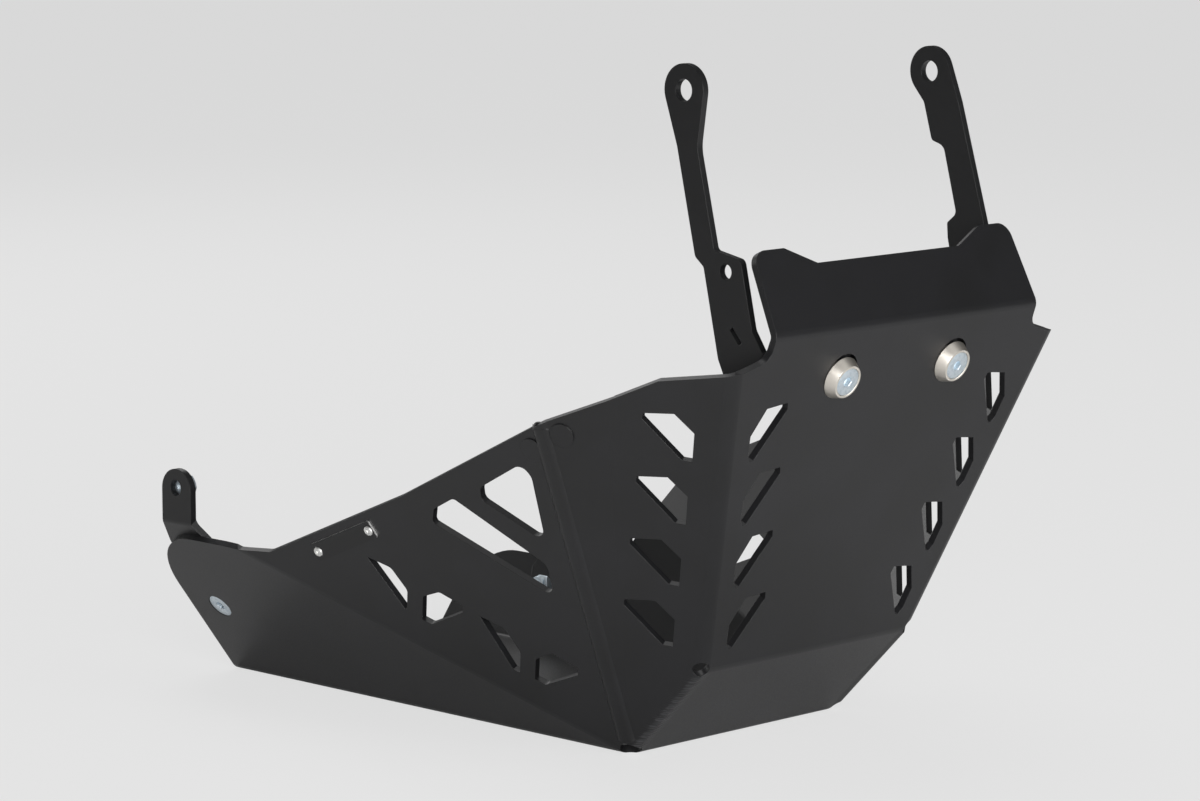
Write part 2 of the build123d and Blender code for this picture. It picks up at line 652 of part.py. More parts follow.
def badge_rivet(sign):
    """Blind rivet of the badge plate."""
    head = Pos(0, 0, BADGE_THICK + RIVET_RISE / 2) * Cylinder(RIVET_R, RIVET_RISE)
    stem = Pos(0, 0, BADGE_THICK / 2) * Cylinder(RIVET_STEM_R, BADGE_THICK)
    return badge_frame() * Pos(sign * RIVET_STEP, 0, 0) * (head + stem)


def save(name, shape):
    """Write one node's STEP file."""
    export_step(shape, "parts/" + name + ".step")


def build():
    """Make and save every piece."""
    save("skid_plate", skid_plate())
    save("right_front_arm", arm(True))
    save("left_front_arm", mirrored(arm(False)))
    save("right_front_bush", bush())
    save("left_front_bush", mirrored(bush()))
    save("right_front_screw", front_screw())
    save("left_front_screw", mirrored(front_screw()))
    save("right_front_nut", front_nut())
    save("left_front_nut", mirrored(front_nut()))
    bracket, upright = rear_bracket(REAR_SCREW, REAR_TAB, SIDE_HEIGHT)
    save("right_rear_bracket", bracket)
    save("right_tab_nut", tab_nut(upright))
    save("right_rear_screw", rear_screw(REAR_SCREW))
    save("right_rear_nut", rear_nut(REAR_SCREW))
    bracket, upright = rear_bracket(LEFT_REAR_SCREW, LEFT_REAR_SCREW[0], LEFT_SIDE_HEIGHT)
    save("left_rear_bracket", mirrored(bracket))
    save("left_tab_nut", mirrored(tab_nut(upright)))
    save("left_rear_screw", mirrored(rear_screw(LEFT_REAR_SCREW)))
    save("left_rear_nut", mirrored(rear_nut(LEFT_REAR_SCREW)))
    save("badge_plate", badge_plate())
    save("badge_rivet_front", badge_rivet(1))
    save("badge_rivet_rear", badge_rivet(-1))


build()
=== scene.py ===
"""Looks of a folded and welded motorcycle skid plate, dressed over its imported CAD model.

Lengths are in metres in the part's own frame: +Z up, -Y the front of the motorcycle, -X its
right side, with the origin in the middle of the floor panel's underside.
"""

import logging
import math
from collections.abc import Callable
from dataclasses import dataclass, field
from enum import Enum

import bpy
from mathutils import Matrix, Vector

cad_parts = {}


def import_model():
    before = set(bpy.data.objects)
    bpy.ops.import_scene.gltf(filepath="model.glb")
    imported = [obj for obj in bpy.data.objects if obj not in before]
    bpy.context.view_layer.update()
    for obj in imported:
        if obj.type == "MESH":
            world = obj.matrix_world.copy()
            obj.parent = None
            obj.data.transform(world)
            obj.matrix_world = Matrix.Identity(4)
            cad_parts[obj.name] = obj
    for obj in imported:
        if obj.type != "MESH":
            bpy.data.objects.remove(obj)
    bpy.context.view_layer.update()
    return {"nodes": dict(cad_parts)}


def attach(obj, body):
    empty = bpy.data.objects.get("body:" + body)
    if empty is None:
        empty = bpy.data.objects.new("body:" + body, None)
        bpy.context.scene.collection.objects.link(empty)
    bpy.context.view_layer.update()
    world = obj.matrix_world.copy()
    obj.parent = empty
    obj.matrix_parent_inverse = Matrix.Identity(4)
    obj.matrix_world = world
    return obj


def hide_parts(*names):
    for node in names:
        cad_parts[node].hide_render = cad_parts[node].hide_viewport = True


LOG = logging.getLogger("skid_plate")
MM = 0.001
BODY = "root"
SHARP_ANGLE = math.radians(32)  # an edge that turns more than this stays crisp
SIDE_PANEL_NORMAL = (-0.923382, -0.124713, -0.363059)  # outwards, of the right side panel
SMOOTH = {"interpolation_type": "SMOOTHSTEP"}  # for a value's way from one range to another

Point = tuple[float, float, float]
Offsets = tuple[tuple[float, float], ...]
Curve = Callable[[float], float]


class Side(Enum):
    """Which side of the motorcycle a piece is on."""

    RIGHT = 1
    LEFT = -1


class Slot(Enum):
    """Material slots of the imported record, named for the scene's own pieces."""

    POWDER_COAT = "powder_coat"
    ZINC = "zinc"
    BARE_ALUMINIUM = "bare_aluminium"


# --- small helpers ---------------------------------------------------------------------------


def linear(colour: str) -> tuple[float, float, float, float]:
    """Turn an sRGB hex colour into linear values.

    Args:
        colour: Six hex digits after a hash sign.

    Returns:
        Red, green and blue, and full opacity.
    """
    parts = [int(colour[i : i + 2], 16) / 255 for i in (1, 3, 5)]
    r, g, b = [v / 12.92 if v <= 0.04045 else ((v + 0.055) / 1.055) ** 2.4 for v in parts]
    return r, g, b, 1.0


def add_node(
    tree: bpy.types.NodeTree,
    kind: str,
    settings: dict[str | int, object] | None = None,
    links: dict[str | int, bpy.types.NodeSocket] | None = None,
) -> bpy.types.Node:
    """Add a node, set its properties and inputs, and link sockets into it.

    Args:
        tree: Node tree to add to.
        kind: Node type, such as ShaderNodeTexNoise.
        settings: Property names, or input names or numbers, with their values.
        links: Input names or numbers with the output sockets that feed them.

    Returns:
        The new node.
    """
    node = tree.nodes.new(kind)
    for key, value in (settings or {}).items():
        if isinstance(key, int) or not hasattr(node, key):
            node.inputs[key].default_value = value
        else:
            setattr(node, key, value)
    for key, socket in (links or {}).items():
        tree.links.new(socket, node.inputs[key])
    return node


def new_material(name: str) -> tuple[bpy.types.Material, bpy.types.NodeTree]:
    """Make an empty node material.

    Args:
        name: Name of the finish.

    Returns:
        The material and its cleared node tree.
    """
    material = bpy.data.materials.new(name)
    material.use_nodes = True
    material.node_tree.nodes.clear()
    return material, material.node_tree


def mesh_object(
    name: str,
    vertices: list[Vector],
    faces: list[tuple[int, ...]],
    material: bpy.types.Material,
) -> bpy.types.Object:
    """Make a smooth-shaded mesh object with one material.

    Args:
        name: Piece name.
        vertices: Points.
        faces: Vertex numbers of each face.
        material: Finish.

    Returns:
        The new object, in the scene.
    """
    mesh = bpy.data.meshes.new(name)
    mesh.from_pydata([tuple(v) for v in vertices], [], faces)
    mesh.validate()
    mesh.materials.append(material)
    mesh.polygons.foreach_set("use_smooth", [True] * len(mesh.polygons))
    mesh.set_sharp_from_angle(angle=SHARP_ANGLE)
    mesh.update()
    piece = bpy.data.objects.new(name, mesh)
    bpy.context.scene.collection.objects.link(piece)
    return piece


def join_part(piece: bpy.types.Object, slot: Slot, *nodes: str) -> None:
    """Let a piece ride the part and stand for CAD nodes, which are hidden.

    Args:
        piece: Object in its place.
        slot: Not used.
        nodes: CAD nodes that it stands for.
    """
    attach(piece, BODY)
    if nodes:
        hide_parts(*nodes)
    LOG.info("placed %s", piece.name)


@dataclass
class Rings:
    """Stack of closed rings round a local Z axis, turned into a mesh."""

    count: int
    rows: list[list[Vector]] = field(default_factory=list)

    def circle(self, radius: float, height: float) -> None:
        """Add a round ring."""
        self.shaped(lambda a: radius, lambda a: height)

    def shaped(self, radius: Curve, height: Curve) -> None:
        """Add a ring whose radius and height depend on the angle.

        Args:
            radius: Function of the angle that gives the radius.
            height: Function of the angle that gives the height.
        """
        row = []
        for i in range(self.count):
            a = math.tau * i / self.count
            row.append(Vector((radius(a) * math.cos(a), radius(a) * math.sin(a), height(a))))
        self.rows.append(row)

    def corner(self, radius: float, height: float, offsets: Offsets) -> None:
        """Add the round rings of a broken corner.

        Args:
            radius: Radius of the sharp corner.
            height: Height of the sharp corner.
            offsets: Radius and height of each ring in millimetres from the sharp corner.
        """
        for out, up in offsets:
            self.circle(radius + out * MM, height + up * MM)

    def build(
        self, name: str, material: bpy.types.Material, closed: bool = False
    ) -> bpy.types.Object:
        """Bridge the rings into one mesh.

        Args:
            name: Piece name.
            material: Finish.
            closed: Join the last ring to the first, as for a nut with a bore.

        Returns:
            The new object.
        """
        n = self.count
        vertices = [v for row in self.rows for v in row]
        faces = []
        pairs = [(r, r + 1) for r in range(len(self.rows) - 1)]
        if closed:
            pairs.append((len(self.rows) - 1, 0))
        for a, b in pairs:
            for i in range(n):
                j = (i + 1) % n
                faces.append((a * n + i, a * n + j, b * n + j, b * n + i))
        if not closed:
            faces.append(tuple(range(n - 1, -1, -1)))
            last = (len(self.rows) - 1) * n
            faces.append(tuple(range(last, last + n)))
        return mesh_object(name, vertices, faces, material)


def hexagon(angle: float, across_flats: float) -> float:
    """Radius of a hexagon's outline at an angle, with a corner at angle 0."""
    turn = (angle % (math.pi / 3)) - math.pi / 6
    return across_flats / 2 / math.cos(turn)


# --- finishes --------------------------------------------------------------------------------


@dataclass(frozen=True)
class PowderCoat:
    """Black polyester powder coat, baked on laser-cut sheet.

    A fine orange-peel grain breaks up the sheen, and the coat rounds off every cut edge. The
    edges where the bevel strip is welded on were dressed by hand, so short strokes cross them.
    The strokes' ridges are painted a lighter grey: a painted highlight.
    """

    name: str = "black_powder_coat"
    colour: str = "#151516"
    patch_colour: str = "#18181a"
    patch_mm: float = 45.0
    patch_range: tuple[float, float] = (0.35, 0.65)  # of the noise, from one colour to the other
    roughness: float = 0.36
    roughness_spread: float = 0.04
    edge_mm: float = 0.35
    grain_mm: float = 0.6  # real grain is about 0.2 mm, drawn coarser so that it shows
    grain_height_mm: float = 0.006
    grain_range: tuple[float, float] = (0.3, 0.7)  # of the noise, from smooth to rough
    dressed: bool = False
    stroke_mm: float = 2.0
    stroke_height_mm: float = 0.8
    # painted highlight: the lighter grey painted on the ridges of the dressing strokes
    stroke_highlight_colour: str = "#38383a"
    stroke_highlight_range: tuple[float, float] = (0.42, 0.62)  # of the height, from plain coat to the painted highlight on the ridge
    stroke_slant: float = 0.9
    stroke_stretch: float = 0.12  # share of the noise's detail along a stroke
    strip_corner: tuple[float, float] = (0.086, -0.167)  # X and Y where a dressed edge starts
    dressed_reach: tuple[float, float] = (0.0015, 0.009)  # the strokes fade out between these
    dressed_start: tuple[float, float] = (0.0, 0.006)
    dressed_end: tuple[float, float] = (0.100, 0.112)

    def strokes(
        self, tree: bpy.types.NodeTree, place: bpy.types.NodeSocket
    ) -> bpy.types.NodeSocket:
        """Height of the dressing strokes along both welded edges of the bevel strip.

        The strip rises forwards at 45 degrees, so its edges follow Z = -(Y - strip_corner).

        Args:
            tree: Node tree to add to.
            place: Object coordinates in metres.

        Returns:
            The height's socket, 0 away from the edges.
        """
        corner_x, corner_y = self.strip_corner
        split = add_node(tree, "ShaderNodeSeparateXYZ", None, {0: place})
        x, y, z = split.outputs[0], split.outputs[1], split.outputs[2]
        half = add_node(tree, "ShaderNodeMath", {"operation": "ABSOLUTE"}, {0: x}).outputs[0]
        out = add_node(
            tree, "ShaderNodeMath", {"operation": "SUBTRACT", 1: corner_x}, {0: half}
        ).outputs[0]
        back = add_node(
            tree, "ShaderNodeMath", {"operation": "SUBTRACT", 1: corner_y}, {0: y}
        ).outputs[0]
        off = add_node(tree, "ShaderNodeMath", {"operation": "ADD"}, {0: back, 1: z}).outputs[0]
        along = add_node(
            tree, "ShaderNodeMath", {"operation": "SUBTRACT"}, {0: z, 1: back}
        ).outputs[0]
        offset = add_node(tree, "ShaderNodeCombineXYZ", None, {0: out, 1: off})
        distance = add_node(
            tree, "ShaderNodeVectorMath", {"operation": "LENGTH"}, {0: offset.outputs[0]}
        )
        slant = add_node(
            tree,
            "ShaderNodeMath",
            {"operation": "MULTIPLY_ADD", 1: self.stroke_slant},
            {0: out, 2: along},
        )
        grid = add_node(tree, "ShaderNodeCombineXYZ", None, {0: slant.outputs[0], 1: out})
        scale = 1000 / self.stroke_mm
        stretched = add_node(
            tree,
            "ShaderNodeVectorMath",
            {"operation": "MULTIPLY", 1: (scale, scale * self.stroke_stretch, 1.0)},
            {0: grid.outputs[0]},
        )
        height = add_node(
            tree,
            "ShaderNodeTexNoise",
            {"Scale": 1.0, "Detail": 2.0},
            {"Vector": stretched.outputs[0]},
        ).outputs[0]
        fades = (
            (distance.outputs[1], self.dressed_reach, 1.0, 0.0),
            (along, self.dressed_start, 0.0, 1.0),
            (along, self.dressed_end, 1.0, 0.0),
        )
        for value, (start, end), low, high in fades:
            settings = SMOOTH | {1: start, 2: end, 3: low, 4: high}
            fade = add_node(tree, "ShaderNodeMapRange", settings, {0: value})
            height = add_node(
                tree,
                "ShaderNodeMath",
                {"operation": "MULTIPLY"},
                {0: height, 1: fade.outputs[0]},
            ).outputs[0]
        return height

    def build(self) -> bpy.types.Material:
        """Make the material.

        Returns:
            The finished material.
        """
        material, tree = new_material(self.name)
        place = add_node(tree, "ShaderNodeTexCoord").outputs["Object"]
        patches = add_node(
            tree,
            "ShaderNodeTexNoise",
            {"Scale": 1000 / self.patch_mm, "Detail": 2.0},
            {"Vector": place},
        )
        start, end = self.patch_range
        mask = add_node(
            tree, "ShaderNodeMapRange", SMOOTH | {1: start, 2: end}, {0: patches.outputs[0]}
        )
        colour = add_node(
            tree,
            "ShaderNodeMix",
            {"data_type": "RGBA", 6: linear(self.colour), 7: linear(self.patch_colour)},
            {0: mask.outputs[0]},
        ).outputs[2]
        grain = add_node(
            tree,
            "ShaderNodeTexNoise",
            {"Scale": 1000 / self.grain_mm, "Detail": 1.0, "Roughness": 0.5},
            {"Vector": place},
        )
        low = self.roughness - self.roughness_spread
        high = self.roughness + self.roughness_spread
        start, end = self.grain_range
        rough = add_node(
            tree,
            "ShaderNodeMapRange",
            SMOOTH | {1: start, 2: end, 3: low, 4: high},
            {0: grain.outputs[0]},
        )
        edge = add_node(tree, "ShaderNodeBevel", {"samples": 6, "Radius": self.edge_mm * MM})
        normal = edge.outputs[0]
        if self.dressed:
            height = self.strokes(tree, place)
            dressing = add_node(
                tree,
                "ShaderNodeBump",
                {"Strength": 1.0, "Distance": self.stroke_height_mm * MM},
                {"Height": height, "Normal": normal},
            )
            normal = dressing.outputs[0]
            # Painted highlight: the ridges of the strokes are painted a lighter grey, where light
            # would catch them.
            start, end = self.stroke_highlight_range
            ridge_highlight = add_node(
                tree, "ShaderNodeMapRange", SMOOTH | {1: start, 2: end}, {0: height}
            )
            colour = add_node(
                tree,
                "ShaderNodeMix",
                {"data_type": "RGBA", 7: linear(self.stroke_highlight_colour)},
                {0: ridge_highlight.outputs[0], 6: colour},
            ).outputs[2]
        bump = add_node(
            tree,
            "ShaderNodeBump",
            {"Strength": 1.0, "Distance": self.grain_height_mm * MM},
            {"Height": grain.outputs[0], "Normal": normal},
        )
        shader = add_node(
            tree,
            "ShaderNodeBsdfPrincipled",
            {"Metallic": 0.0, "IOR": 1.5},
            {"Base Color": colour, "Roughness": rough.outputs[0], "Normal": bump.outputs[0]},
        )
        add_node(tree, "ShaderNodeOutputMaterial", None, {0: shader.outputs[0]})
        return material


@dataclass(frozen=True)
class BadgeFinish:
    """Black anodised aluminium plate whose sawn edges are bare, so a thin bright line rims it."""

    name: str = "black_anodised_badge"
    face_colour: str = "#0e0e0f"
    edge_colour: str = "#fafaf8"
    face_normal: Point = SIDE_PANEL_NORMAL
    face_share: float = 0.8  # a face that turns further from the plate's own is an edge
    face_roughness: float = 0.3
    edge_roughness: float = 0.5
    grain_mm: float = 1.11  # etched grain, drawn coarser than it is so that it shows
    grain_height_mm: float = 0.006
    grain_strength: float = 0.15

    def build(self) -> bpy.types.Material:
        """Make the material.

        Returns:
            The finished material.
        """
        material, tree = new_material(self.name)
        shape = add_node(tree, "ShaderNodeNewGeometry")
        facing = add_node(
            tree,
            "ShaderNodeVectorMath",
            {"operation": "DOT_PRODUCT", 1: self.face_normal},
            {0: shape.outputs["True Normal"]},
        )
        edge = add_node(
            tree,
            "ShaderNodeMath",
            {"operation": "LESS_THAN", 1: self.face_share},
            {0: facing.outputs[1]},
        ).outputs[0]
        place = add_node(tree, "ShaderNodeTexCoord").outputs["Object"]
        grain = add_node(
            tree,
            "ShaderNodeTexNoise",
            {"Scale": 1000 / self.grain_mm, "Detail": 2.0},
            {"Vector": place},
        )
        bump = add_node(
            tree,
            "ShaderNodeBump",
            {"Strength": self.grain_strength, "Distance": self.grain_height_mm * MM},
            {"Height": grain.outputs[0]},
        )
        colour = add_node(
            tree,
            "ShaderNodeMix",
            {"data_type": "RGBA", 6: linear(self.face_colour), 7: linear(self.edge_colour)},
            {0: edge},
        )
        rough = add_node(
            tree,
            "ShaderNodeMapRange",
            SMOOTH | {3: self.face_roughness, 4: self.edge_roughness},
            {0: edge},
        )
        shader = add_node(
            tree,
            "ShaderNodeBsdfPrincipled",
            None,
            {
                "Base Color": colour.outputs[2],
                "Metallic": edge,
                "Roughness": rough.outputs[0],
                "Normal": bump.outputs[0],
            },
        )
        add_node(tree, "ShaderNodeOutputMaterial", None, {0: shader.outputs[0]})
        return material


@dataclass(frozen=True)
class PlatedSteel:
    """Zinc-plated steel: bright, faintly blue, with soft cloudy differences in the plating."""

    name: str = "blue_zinc_plate"
    colour: str = "#e4edf3"
    cloud_colour: str = "#ccd8e0"
    roughness: float = 0.5
    bright_drop: float = 0.06  # of the roughness where the plating is bright
    cloud_rise: float = 0.08  # of the roughness where it is cloudy
    cloud_mm: float = 3.0
    cloud_height_mm: float = 0.01
    cloud_strength: float = 0.4
    colour_range: tuple[float, float] = (0.35, 0.7)  # of the noise, from bright to cloudy
    roughness_range: tuple[float, float] = (0.3, 0.7)

    def build(self) -> bpy.types.Material:
        """Make the material.

        Returns:
            The finished material.
        """
        material, tree = new_material(self.name)
        place = add_node(tree, "ShaderNodeTexCoord").outputs["Object"]
        cloud = add_node(
            tree,
            "ShaderNodeTexNoise",
            {"Scale": 1000 / self.cloud_mm, "Detail": 3.0},
            {"Vector": place},
        ).outputs[0]
        start, end = self.colour_range
        mask = add_node(tree, "ShaderNodeMapRange", SMOOTH | {1: start, 2: end}, {0: cloud})
        colour = add_node(
            tree,
            "ShaderNodeMix",
            {"data_type": "RGBA", 6: linear(self.colour), 7: linear(self.cloud_colour)},
            {0: mask.outputs[0]},
        )
        low = self.roughness - self.bright_drop
        high = self.roughness + self.cloud_rise
        start, end = self.roughness_range
        settings = SMOOTH | {1: start, 2: end, 3: low, 4: high}
        rough = add_node(tree, "ShaderNodeMapRange", settings, {0: cloud})
        bump = add_node(
            tree,
            "ShaderNodeBump",
            {"Strength": self.cloud_strength, "Distance": self.cloud_height_mm * MM},
            {"Height": cloud},
        )
        shader = add_node(
            tree,
            "ShaderNodeBsdfPrincipled",
            {"Metallic": 1.0},
            {
                "Base Color": colour.outputs[2],
                "Roughness": rough.outputs[0],
                "Normal": bump.outputs[0],
            },
        )
        add_node(tree, "ShaderNodeOutputMaterial", None, {0: shader.outputs[0]})
        return material


@dataclass(frozen=True)
class TurnedMetal:
    """Lathe-turned bare metal: fine rings round the axis spread the light into radial streaks."""

    name: str = "turned_aluminium"
    colour: str = "#f0eae0"
    roughness: float = 0.36
    streak: float = 0.7
    ring_mm: float = 1.885  # feed marks are about 0.1 mm, drawn coarser so that they show
    ring_height_mm: float = 0.01
    ring_strength: float = 0.3
    ring_waver: float = 0.3
    texture_turn: float = 20.0  # radians of the wave texture in one unit

    def build(self) -> bpy.types.Material:
        """Make the material.

        Returns:
            The finished material.
        """
        material, tree = new_material(self.name)
        place = add_node(tree, "ShaderNodeTexCoord").outputs["Object"]
        rings = add_node(
            tree,
            "ShaderNodeTexWave",
            {
                "wave_type": "RINGS",
                "rings_direction": "Z",
                "Scale": 1000 / self.ring_mm * math.tau / self.texture_turn,
                "Distortion": self.ring_waver,
            },
            {"Vector": place},
        )
        bump = add_node(
            tree,
            "ShaderNodeBump",
            {"Strength": self.ring_strength, "Distance": self.ring_height_mm * MM},
            {"Height": rings.outputs[1]},
        )
        tangent = add_node(tree, "ShaderNodeTangent", {"direction_type": "RADIAL", "axis": "Z"})
        shader = add_node(
            tree,
            "ShaderNodeBsdfPrincipled",
            {
                "Base Color": linear(self.colour),
                "Metallic": 1.0,
                "Roughness": self.roughness,
                "Anisotropic": self.streak,
            },
            {"Normal": bump.outputs[0], "Tangent": tangent.outputs[0]},
        )
        add_node(tree, "ShaderNodeOutputMaterial", None, {0: shader.outputs[0]})
        return material


@dataclass(frozen=True)
class LitTable:
    """Pale matt studio table, shown evenly pale, as a catalogue picture has it.

    The part is lit and mirrored by the plain matt surface. Only what is seen directly is evened
    out, so that a soft share of the part's shadow is left.
    """

    name: str = "pale_table"
    colour: str = "#f4f4f4"
    even_colour: str = "#eaeaea"
    even_share: float = 0.82
    roughness: float = 0.9

    def build(self) -> bpy.types.Material:
        """Make the material.

        Returns:
            The finished material.
        """
        material, tree = new_material(self.name)
        shader = add_node(
            tree,
            "ShaderNodeBsdfPrincipled",
            {
                "Base Color": linear(self.colour),
                "Roughness": self.roughness,
                "Specular IOR Level": 0.0,
            },
        )
        even = add_node(tree, "ShaderNodeEmission", {"Color": linear(self.even_colour)})
        ray = add_node(tree, "ShaderNodeLightPath")
        share = add_node(
            tree,
            "ShaderNodeMath",
            {"operation": "MULTIPLY", 1: self.even_share},
            {0: ray.outputs["Is Camera Ray"]},
        )
        both = add_node(
            tree,
            "ShaderNodeMixShader",
            None,
            {0: share.outputs[0], 1: shader.outputs[0], 2: even.outputs[0]},
        )
        add_node(tree, "ShaderNodeOutputMaterial", None, {0: both.outputs[0]})
        return material


@dataclass
class Finishes:
    """Every finish of the part, made once."""

    sheet: bpy.types.Material
    bracket: bpy.types.Material
    zinc: bpy.types.Material
    turned: bpy.types.Material
    badge: bpy.types.Material
    rivet: bpy.types.Material

    @classmethod
    def make(cls) -> "Finishes":
        """Build the materials.

        Returns:
            The set of finishes.
        """
        bracket = PowderCoat(
            name="black_bracket_coat", colour="#131314", patch_colour="#161617"
        )
        rivet = PlatedSteel(
            name="bright_rivet_aluminium",
            colour="#f2f2f0",
            cloud_colour="#e8e8e6",
            roughness=0.52,
        )
        return cls(
            sheet=PowderCoat(dressed=True).build(),
            bracket=bracket.build(),
            zinc=PlatedSteel().build(),
            turned=TurnedMetal().build(),
            badge=BadgeFinish().build(),
            rivet=rivet.build(),
        )


# --- pieces ----------------------------------------------------------------------------------


@dataclass
class Seat:
    """Place of a turned piece: origin on a face, local Z along the face's outward normal."""

    origin: Vector
    normal: Vector
    x_dir: Vector

    @classmethod
    def at(cls, origin: Point, normal: Point, x_dir: Point, side: Side) -> "Seat":
        """Make a seat from the right side's values, mirrored for the left side.

        Args:
            origin: Point in millimetres.
            normal: Outward direction.
            x_dir: Local X direction.
            side: Side of the motorcycle.

        Returns:
            The seat in metres.
        """
        flip = Vector((side.value, 1, 1))
        return cls(Vector(origin) * flip * MM, Vector(normal) * flip, Vector(x_dir) * flip)

    def shifted(self, height: float) -> "Seat":
        """Seat moved out along its normal."""
        return Seat(self.origin + self.normal * height, self.normal, self.x_dir)

    def matrix(self) -> Matrix:
        """Work out where the seat puts a piece.

        Returns:
            The seat's world matrix.
        """
        z = self.normal.normalized()
        x = (self.x_dir - z * self.x_dir.dot(z)).normalized()
        y = z.cross(x)
        return Matrix.Translation(self.origin) @ Matrix((x, y, z)).transposed().to_4x4()


def fit_piece(piece: bpy.types.Object, seat: Seat, slot: Slot, *nodes: str) -> None:
    """Place a piece on its seat and join it to the part.

    Args:
        piece: Object built round its local Z axis.
        seat: Where it goes.
        slot: Record slot of its finish.
        nodes: CAD nodes that it stands for.
    """
    piece.matrix_world = seat.matrix()
    join_part(piece, slot, *nodes)


@dataclass
class MetricThread:
    """Coarse 8 mm thread as a helix of rounded ridges."""

    crest: float = 3.98 * MM
    depth: float = 0.62 * MM
    pitch: float = 1.25 * MM
    flank_power: float = 1.2
    steps: int = 8  # rings in one pitch

    def radius(self, angle: float, height: float) -> float:
        """Radius of the screw's thread at an angle and a height."""
        phase = (height / self.pitch - angle / math.tau) % 1.0
        return self.crest - self.depth * abs(2 * phase - 1) ** self.flank_power

    def heights(self, start: float, end: float) -> list[float]:
        """Set out the heights of the thread's rings.

        Args:
            start: First height.
            end: Last height.

        Returns:
            Even steps from the first height to the last, both included.
        """
        count = max(2, round(abs(end - start) / self.pitch * self.steps))
        return [start + (end - start) * i / count for i in range(count + 1)]

    def rows(
        self, rings: Rings, heights: list[float], gap: float = 0.0, shift: float = 0.0
    ) -> None:
        """Add a thread ring at each height.

        Args:
            rings: Stack to add to.
            heights: Heights of the rings.
            gap: Added to the radius, for the nut's side of the thread.
            shift: Height offset of the helix, which keeps a nut in step with its screw.
        """
        for z in heights:
            rings.shaped(lambda a, z=z: self.radius(a, z + shift) + gap, lambda a, z=z: z)


@dataclass
class CountersunkScrew:
    """Socket countersunk screw with a flat head."""

    length: float
    head_radius: float = 8.0 * MM
    head_edge: Offsets = ((-0.25, 0.0), (-0.05, -0.12), (0.0, -0.25))
    rim: float = 0.4 * MM
    socket_flats: float = 5.0 * MM
    socket_depth: float = 3.0 * MM
    socket_draft: float = 0.98  # width of the socket's floor as a share of its mouth
    mouth_depth: float = 0.35 * MM
    mouth_flare: float = 1.22
    drill_radius: float = 0.25 * MM
    drill_depth: float = 1.1 * MM
    shank_radius: float = 4.0 * MM
    plain_shank: float = 1.2 * MM
    run_out: float = 1.6 * MM
    point_length: float = 0.8 * MM
    point_inset: float = 0.95 * MM
    facets: int = 60
    thread: MetricThread = field(default_factory=MetricThread)

    def build(self, name: str, material: bpy.types.Material) -> bpy.types.Object:
        """Build the screw with its head face at local height 0.

        Args:
            name: Piece name.
            material: Finish.

        Returns:
            The screw.
        """
        rings = Rings(self.facets)
        flats = self.socket_flats
        rings.circle(self.drill_radius, -self.socket_depth - self.drill_depth)
        rings.shaped(
            lambda a: hexagon(a, flats) * self.socket_draft, lambda a: -self.socket_depth
        )
        rings.shaped(lambda a: hexagon(a, flats), lambda a: -self.mouth_depth)
        rings.circle(flats / 2 * self.mouth_flare, 0.0)
        rings.corner(self.head_radius, 0.0, self.head_edge)
        rings.circle(self.head_radius, -self.rim)
        cone = self.rim + self.head_radius - self.shank_radius
        rings.circle(self.shank_radius, -cone)
        rings.circle(self.shank_radius, -cone - self.plain_shank)
        heights = self.thread.heights(-cone - self.run_out, -self.length + self.point_length)
        self.thread.rows(rings, heights)
        rings.circle(self.shank_radius - self.point_inset, -self.length)
        return rings.build(name, material)


@dataclass
class HexNut:
    """Plain hexagon nut with chamfered corners and a threaded bore."""

    across_flats: float = 13.0 * MM
    height: float = 6.5 * MM
    face_share: float = 0.955  # width of the round face as a share of that across flats
    chamfer: float = math.radians(30)
    corner_inset: float = 0.05 * MM
    corner_drop: float = 0.1 * MM
    bore_radius: float = 4.35 * MM
    thread_gap: float = 0.04 * MM
    facets: int = 60
    thread: MetricThread = field(default_factory=MetricThread)

    def corner_ring(self, rings: Rings, inset: float, drop: float, lower: bool) -> None:
        """Add a six-sided ring of the chamfer round one of the faces.

        Args:
            rings: Stack to add to.
            inset: Distance inside the hexagon.
            drop: Distance below the chamfer.
            lower: True for the lower face, where the chamfer is turned over.
        """
        face = self.across_flats / 2 * self.face_share

        def radius(angle: float) -> float:
            """Radius of the ring at an angle."""
            return hexagon(angle, self.across_flats) - inset

        def height(angle: float) -> float:
            """Height of the ring at an angle."""
            depth = max(0.0, radius(angle) - face) * math.tan(self.chamfer) + drop
            return depth - self.height if lower else -depth

        rings.shaped(radius, height)

    def build(
        self, name: str, material: bpy.types.Material, shift: float = 0.0
    ) -> bpy.types.Object:
        """Build the nut with its seat at local height 0 and its body downwards.

        Args:
            name: Piece name.
            material: Finish.
            shift: Height of the nut's seat above the head face of its screw.

        Returns:
            The nut.
        """
        rings = Rings(self.facets)
        face = self.across_flats / 2 * self.face_share
        low = -self.height
        rings.circle(self.bore_radius, 0.0)
        rings.circle(face, 0.0)
        self.corner_ring(rings, self.corner_inset, 0.0, lower=False)
        self.corner_ring(rings, 0.0, self.corner_drop, lower=False)
        self.corner_ring(rings, 0.0, self.corner_drop, lower=True)
        self.corner_ring(rings, self.corner_inset, 0.0, lower=True)
        rings.circle(face, low)
        rings.circle(self.bore_radius, low)
        self.thread.rows(
            rings, self.thread.heights(low, 0.0)[1:-1], gap=self.thread_gap, shift=shift
        )
        return rings.build(name, material, closed=True)


